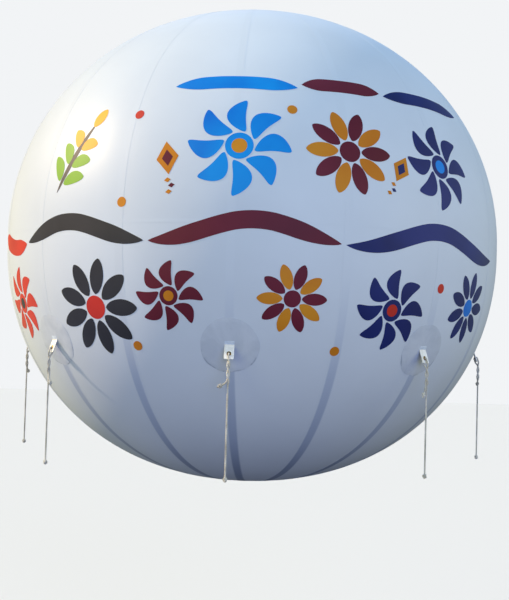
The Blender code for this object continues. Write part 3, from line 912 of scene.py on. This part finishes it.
def soft_box(centre, half):
    """A box with rounded edges: a superellipsoid whose sines and cosines are raised to a quarter."""
    u = circle(28)
    v = np.linspace(-math.pi / 2, math.pi / 2, 15)[:, None]
    waves = (np.sin(u), np.cos(u), np.sin(v), np.cos(v))
    sin_u, cos_u, sin_v, cos_v = (np.sign(wave) * np.abs(wave) ** 0.25 for wave in waves)
    x = half[0] * cos_v * sin_u
    y = -half[1] * cos_v * cos_u
    z = half[2] * sin_v + 0 * u
    return tube(np.stack([x, y, z], axis=-1)[1:-1] + np.asarray(centre))


def plastic_material():
    """Injection-moulded white PVC: smooth and semi-gloss, a little yellowed, with a fine moulded grain."""
    made, tree, shader, place = finish("moulded_white_pvc", Roughness=0.35, IOR=1.53)
    grain = add(tree, "ShaderNodeTexNoise", {"Vector": place}, Scale=700.0, Detail=2.0)
    age = add(tree, "ShaderNodeTexNoise", {"Vector": place}, Scale=30.0, Detail=4.0)
    colour = ramp(tree, age.outputs["Fac"], [(0.3, "cfcfca"), (0.7, "e6e7e6")])
    dress(tree, shader, colour, grain.outputs["Fac"], 0.15, 0.0002)
    return made


moulded = plastic_material()
flange_low = VALVE_SEAT - THROAT_HEIGHT - FLANGE_THICKNESS
flange_outline = [
    (BORE_RADIUS, flange_low + 0.0004),
    (BORE_RADIUS + 0.0004, flange_low),
    (FLANGE_RADIUS - 0.0010, flange_low),
    (FLANGE_RADIUS, flange_low + 0.0010),
    (FLANGE_RADIUS, flange_low + FLANGE_THICKNESS - 0.0004),
    (FLANGE_RADIUS - 0.0004, flange_low + FLANGE_THICKNESS),
    (THROAT_RADIUS, flange_low + FLANGE_THICKNESS),
    (THROAT_RADIUS, VALVE_SEAT - SMALL_ROUND),
    (THROAT_RADIUS - SMALL_ROUND, VALVE_SEAT),
    (BORE_RADIUS + SMALL_ROUND, VALVE_SEAT),
    (BORE_RADIUS, VALVE_SEAT - SMALL_ROUND),
]
hinge_point = np.array(joints["valve_lid_hinge"]["pos_m"])
lugs = [soft_box(hinge_point + [side * LUG_OFFSET, 0, 0.0004], LUG_HALF) for side in (-1, 1)]
flange = [closed_ring(turned_grid(flange_outline)), *lugs]
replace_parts(piece("valve_flange", flange, moulded, "root"), "valve_base")
lid_low = flange_low - LID_THICKNESS
lid_high = flange_low - 0.0003
lid_outline = [
    (0.0002, lid_low + 0.0008),
    (BEAD_INNER - BEAD_SLOPE, lid_low + 0.0008),
    (BEAD_INNER, lid_low),
    (BEAD_OUTER, lid_low),
    (BEAD_OUTER + BEAD_SLOPE, lid_low + SMALL_ROUND),
    (LID_RADIUS - 0.0010, lid_low + SMALL_ROUND),
    (LID_RADIUS, lid_low + 0.0014),
    (LID_RADIUS, lid_high - 0.0005),
    (LID_RADIUS - SMALL_ROUND, lid_high),
    (0.0002, lid_high),
]
turned = circle(24)
run = np.array([-0.0120, -0.0070, -0.0069, 0.0069, 0.0070, 0.0120])[:, None]
size = np.where(np.abs(run) < 0.00695, KNUCKLE_RADIUS, PIN_RADIUS)
pin = np.stack([run + 0 * turned, size * np.cos(turned), size * np.sin(turned)], axis=-1)
lid = [
    tube(turned_grid(lid_outline)),
    soft_box(hinge_point + [0, -0.0045, 0.0014], LEAF_HALF),
    tube(pin + hinge_point),
    soft_box((0, -0.0345, (lid_low + flange_low) / 2 - 0.0002), GRIP_HALF),
]
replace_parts(piece("valve_snap_lid", lid, moulded, "lid"), "valve_lid")

# Printed design
# Solvent ink printed on the film before the gores were welded: swags and waves of ribbon with pinwheels,
# daisies, leaves and kites between them, in the colours of a fair's bunting. The same print is on the back.

INK_LIFT = 0.0010
INK_STEP = 0.00035
INK_THICKNESS = 0.0003
SPOT_RINGS = 5
SPOT_SIDES = 48
INK_CODES = {
    "sky_blue": ("0a90e6", "0466cc"),
    "maroon": ("6b1f33", "5a172a"),
    "amber": ("d08a22", "c07018"),
    "navy": ("1c2a72", "141f58"),
    "red": ("cc3529", "b32a22"),
    "charcoal": ("33333a", "27272d"),
    "umber": ("5d5457", "4c4446"),
    "leaf_green": ("86b432", "74a226"),
    "sun_yellow": ("f5b335", "e8a022"),
}
ink_parts = {name: [] for name in INK_CODES}


def stamp(ink, grid, level, make):
    """Lays one shape on the front and again on the back, as a film of ink level layers up."""
    lift = INK_LIFT + INK_STEP * level
    for turn_by in (0, math.pi):
        ink_parts[ink].append(make(grid(turn_by, lift), grid(turn_by, lift - INK_THICKNESS)))


def ribbon(ink, start, end, middle, swing, turns, phase, width, level=0, point=0.25):
    """A wave of ink between two azimuths: a sine of the azimuth that swells from a point at each end."""
    run = np.linspace(0, 1, max(int((end - start) * 1.5), 12))
    azimuth = np.radians(start + (end - start) * run)
    latitude = np.radians(middle + swing * np.sin(azimuth * turns + phase))
    line = np.stack([azimuth * bare_film(latitude)[0], film_run(latitude)], axis=-1)
    slope = np.gradient(line, axis=0)
    slope /= np.linalg.norm(slope, axis=1, keepdims=True)
    swell = 0.02 + 0.98 * np.sin(math.pi / 2 * np.clip(np.minimum(run, 1 - run) / point, 0, 1)) ** 0.8
    across = np.linspace(-width / 2, width / 2, 7)[:, None] * swell
    north = line[None, :, 1] + across * slope[None, :, 0]
    there = np.interp(north, arc_table, latitude_table)
    east = azimuth[None, :] - across * slope[None, :, 1] / bare_film(there)[0]
    stamp(ink, lambda turn_by, lift: film(east + turn_by, there, lift), level, slab)


def spot(ink, azimuth, latitude, outline, spin=0.0, away=(0, 0), level=0):
    """A spot of ink: a closed outline shrunk in even steps to its middle, moved by away, turned by spin."""
    share = np.linspace(0.04, 1, SPOT_RINGS)[:, None]
    t = circle(SPOT_SIDES)
    x, y = outline(t)
    x, y = share * x + away[0], share * y + away[1]
    east = math.cos(spin) * x - math.sin(spin) * y
    north = math.sin(spin) * x + math.cos(spin) * y
    here, there = math.radians(azimuth), math.radians(latitude)
    stamp(ink, lambda turn_by, lift: film_at(here + turn_by, there, east, north, lift), level, flat_disc)


def disc(size):
    """A circle."""
    return lambda t: (size * np.cos(t), -size * np.sin(t))


def blade(length, width, bow):
    """A petal: a lens with two pointed ends, its middle line bent into a parabola of height bow."""

    def outline(t):
        share = np.cos(t)
        return length / 2 * share, -width / 2 * np.sin(t) * np.abs(np.sin(t)) ** 0.3 + bow * (0.5 - share**2)

    return outline


def rhombus(tall, wide):
    """A rhombus by direction: one over the sum of the direction's two parts, each over its half size."""

    def outline(t):
        radius = 1 / (np.abs(np.cos(t)) / tall + np.abs(np.sin(t)) / wide)
        return radius * np.cos(t), -radius * np.sin(t)

    return outline


def petals(azimuth, latitude, petal, count, inks, reach):
    """Petals in inks that take turns, at even angles round a point."""
    for i in range(count):
        spot(inks[i % len(inks)], azimuth, latitude, petal, 2 * math.pi * i / count, (reach, 0))


def pinwheel(azimuth, latitude, size, ink, heart):
    """Eight curved blades round a disc of the same ink with a round heart on it."""
    petals(azimuth, latitude, blade(size * 0.70, size * 0.36, size * 0.17), 8, [ink], size * 0.64)
    spot(ink, azimuth, latitude, disc(size * 0.27))
    spot(heart, azimuth, latitude, disc(size * 0.15), level=1)


def daisy(azimuth, latitude, size, count, inks, heart):
    """Straight petals in inks that take turns, round a heart."""
    petals(azimuth, latitude, blade(size * 0.72, size * 0.34, 0), count, inks, size * 0.63)
    spot(heart, azimuth, latitude, disc(size * 0.24))


def sprig(azimuth, latitude, size, lean, stem, leaves):
    """A stem with pairs of bowed leaves, larger towards its foot, and one at its tip."""
    spin = math.radians(lean)
    spot(stem, azimuth, latitude, blade(size * 1.7, size * 0.13, 0), spin)
    for i, ink in enumerate(leaves):
        for side in (-1, 1):
            reach = size * (0.62 - 0.08 * i)
            turned = side * math.radians(52)
            root = (-0.62 + 0.42 * i) * size
            away = (root * math.cos(turned) + reach * 0.62, -root * math.sin(turned))
            leaf = blade(reach, size * 0.28, -side * size * 0.06)
            spot(ink, azimuth, latitude, leaf, spin + turned, away)
    spot(leaves[-1], azimuth, latitude, blade(size * 0.46, size * 0.28, 0), spin, (size * 1.0, 0))


def kite(azimuth, latitude, size, lean, outer, inner):
    """A rhombus with a smaller one on it, and a tail of three small ones."""
    spin = math.radians(lean)
    spot(outer, azimuth, latitude, rhombus(size, size * 0.66), spin)
    spot(inner, azimuth, latitude, rhombus(size * 0.5, size * 0.33), spin, level=1)
    for i in range(3):
        away = (-size * (1.3 + 0.34 * i), 0.1 * size * (-1) ** i)
        spot((outer, inner)[i % 2], azimuth, latitude, rhombus(size * 0.14, size * 0.2), spin, away)


pinwheel(1, 14.5, 0.265, "sky_blue", "amber")
daisy(23, 14.5, 0.235, 10, ("maroon", "amber"), "maroon")
pinwheel(46, 14, 0.245, "navy", "sky_blue")
sprig(-36, 13.5, 0.25, 62, "umber", ("leaf_green", "leaf_green", "sun_yellow"))
pinwheel(-57, -15, 0.21, "red", "charcoal")
daisy(-29, -16, 0.26, 9, ("charcoal",), "red")
pinwheel(-12, -13.5, 0.18, "maroon", "amber")
daisy(12, -13.5, 0.18, 10, ("maroon", "amber"), "maroon")
pinwheel(33.5, -15, 0.215, "navy", "red")
daisy(58, -13.5, 0.205, 9, ("navy",), "sky_blue")
SWAGS = (("sky_blue", -14, 13, 28), ("maroon", 14, 33, 28.5), ("navy", 34, 62, 28.5))
for ink, start, end, latitude in SWAGS:
    phase = math.pi / 2 - math.radians((start + end) / 2) * 5
    ribbon(ink, start, end, latitude, 1.6, 5, phase, 0.085)
WAVES = (("red", -70, -51), ("charcoal", -50, -17), ("maroon", -16, 21), ("navy", 22, 68))
for ink, start, end in WAVES:
    ribbon(ink, start, end, -1.5, 1.8, 9.0, 0.9, 0.09)
kite(-13, 12, 0.09, 100, "amber", "maroon")
kite(34.5, 12, 0.08, 60, "amber", "navy")
DOTS = {
    "amber": ((-22, 3.5), (11.5, 23), (-20, -24), (22, -24)),
    "red": ((-21, 22), (46, -10)),
}
for ink, places in DOTS.items():
    for azimuth, latitude in places:
        spot(ink, azimuth, latitude, disc(0.026))


def ink_material(name, light, dark):
    """Solvent ink on PVC film: it dries duller than the film, and its colour varies a little by pass."""
    made, tree, shader, place = finish(f"solvent_ink_{name}", Roughness=0.5, IOR=1.3)
    streak = add(tree, "ShaderNodeTexNoise", {"Vector": place}, Scale=2.2, Detail=3.0).outputs["Fac"]
    dress(tree, shader, ramp(tree, streak, [(0.35, dark), (0.65, light)]))
    return made


for ink, (light, dark) in INK_CODES.items():
    piece(f"print_{ink}", ink_parts[ink], ink_material(ink, light, dark), "root")

# Studio
# A plain pale floor well below the floating balloon and a plain pale backdrop. A low warm lamp stands at the
# left, and wide soft glows stand for the open air round the balloon. They are named for where they come from.

FLOOR_HEIGHT = -3.5
FLOOR_SIZE = 90.0
BACKDROP_CODE = "f2f4f6"
PAPER_CODE = "ebe8ea"
LAMP_PLACE = (-90, 31)
LAMP_STRENGTH = 4.2
LAMP_CODE = "ffe6c0"
LAMP_ANGLE = 3.0
GLOWS = {
    "sunlit_haze_left": (-40, 10, 14, 2.5, "feffc7"),
    "blue_sky_front": (20, 10, 14, 4.4, "bbceff"),
    "bright_sky_right": (80, 10, 14, 2.7, "fffed5"),
    "pale_sky_behind_right": (125, 8, 12, 0.9, "ebfeff"),
    "blue_sky_behind": (180, 38, 10, 1.6, "a8cdff"),
    "blue_sky_above": (0, 85, 8, 1.5, "75d2ff"),
    "ground_left": (-90, -25, 8, 1.2, "a2b3ff"),
    "sunlit_ground_behind_left": (-130, -12, 10, 1.0, "f9ffb1"),
}


def warm_lamp():
    """A far lamp whose rays all run one way, so the tab and its rope cast a thin shadow on the film."""
    light = bpy.data.lights.new("warm_lamp", "SUN")
    light.energy = LAMP_STRENGTH
    light.color = linear(LAMP_CODE)[:3]
    light.angle = math.radians(LAMP_ANGLE)
    back = direction(*LAMP_PLACE)
    side = np.cross([0, 0, 1.0], back)
    side /= np.linalg.norm(side)
    placed("warm_lamp", light, np.stack([side, np.cross(back, side), back], axis=1))


def surroundings():
    """The sum of the glows, each a colour times a power of the cosine to its direction. The camera itself
    sees the plain backdrop."""
    world = bpy.data.worlds.new("studio")
    world.use_nodes = True
    tree = world.node_tree
    way = add(tree, "ShaderNodeTexCoord").outputs["Generated"]
    total = None
    for azimuth, elevation, power, strength, code in GLOWS.values():
        aim = {1: direction(azimuth, elevation)}
        facing = add(tree, "ShaderNodeVectorMath", {0: way}, aim, operation="DOT_PRODUCT").outputs["Value"]
        facing = add(tree, "ShaderNodeMath", {0: facing}, {1: 0.0}, operation="MAXIMUM").outputs[0]
        facing = add(tree, "ShaderNodeMath", {0: facing}, {1: power}, operation="POWER").outputs[0]
        colour = {0: np.array(linear(code)[:3]) * strength}
        glow = add(tree, "ShaderNodeVectorMath", {"Scale": facing}, colour, operation="SCALE").outputs[0]
        if total is not None:
            glow = add(tree, "ShaderNodeVectorMath", {0: total, 1: glow}, operation="ADD").outputs[0]
        total = glow
    lit = tree.nodes["Background"]
    tree.links.new(total, lit.inputs["Color"])
    seen = add(tree, "ShaderNodeBackground", Color=linear(BACKDROP_CODE))
    camera_ray = add(tree, "ShaderNodeLightPath").outputs["Is Camera Ray"]
    either = add(tree, "ShaderNodeMixShader", {0: camera_ray, 1: lit.outputs[0], 2: seen.outputs[0]})
    tree.links.new(either.outputs[0], tree.nodes["World Output"].inputs["Surface"])
    bpy.context.scene.world = world


corners = np.array([[-1, -1, 0], [1, -1, 0], [1, 1, 0], [-1, 1, 0]]) * FLOOR_SIZE / 2 + [0, 0, FLOOR_HEIGHT]
floor_mesh = bpy.data.meshes.new("floor")
floor_mesh.from_pydata(corners.tolist(), [], [(0, 1, 2, 3)])
floor_mesh.materials.append(finish("studio_paper", Roughness=0.95, Base_Color=linear(PAPER_CODE))[0])
floor = placed("floor", floor_mesh)
floor.visible_diffuse = False
floor.visible_glossy = False
floor.visible_shadow = False
warm_lamp()
surroundings()
bpy.context.scene.view_settings.view_transform = "Standard"
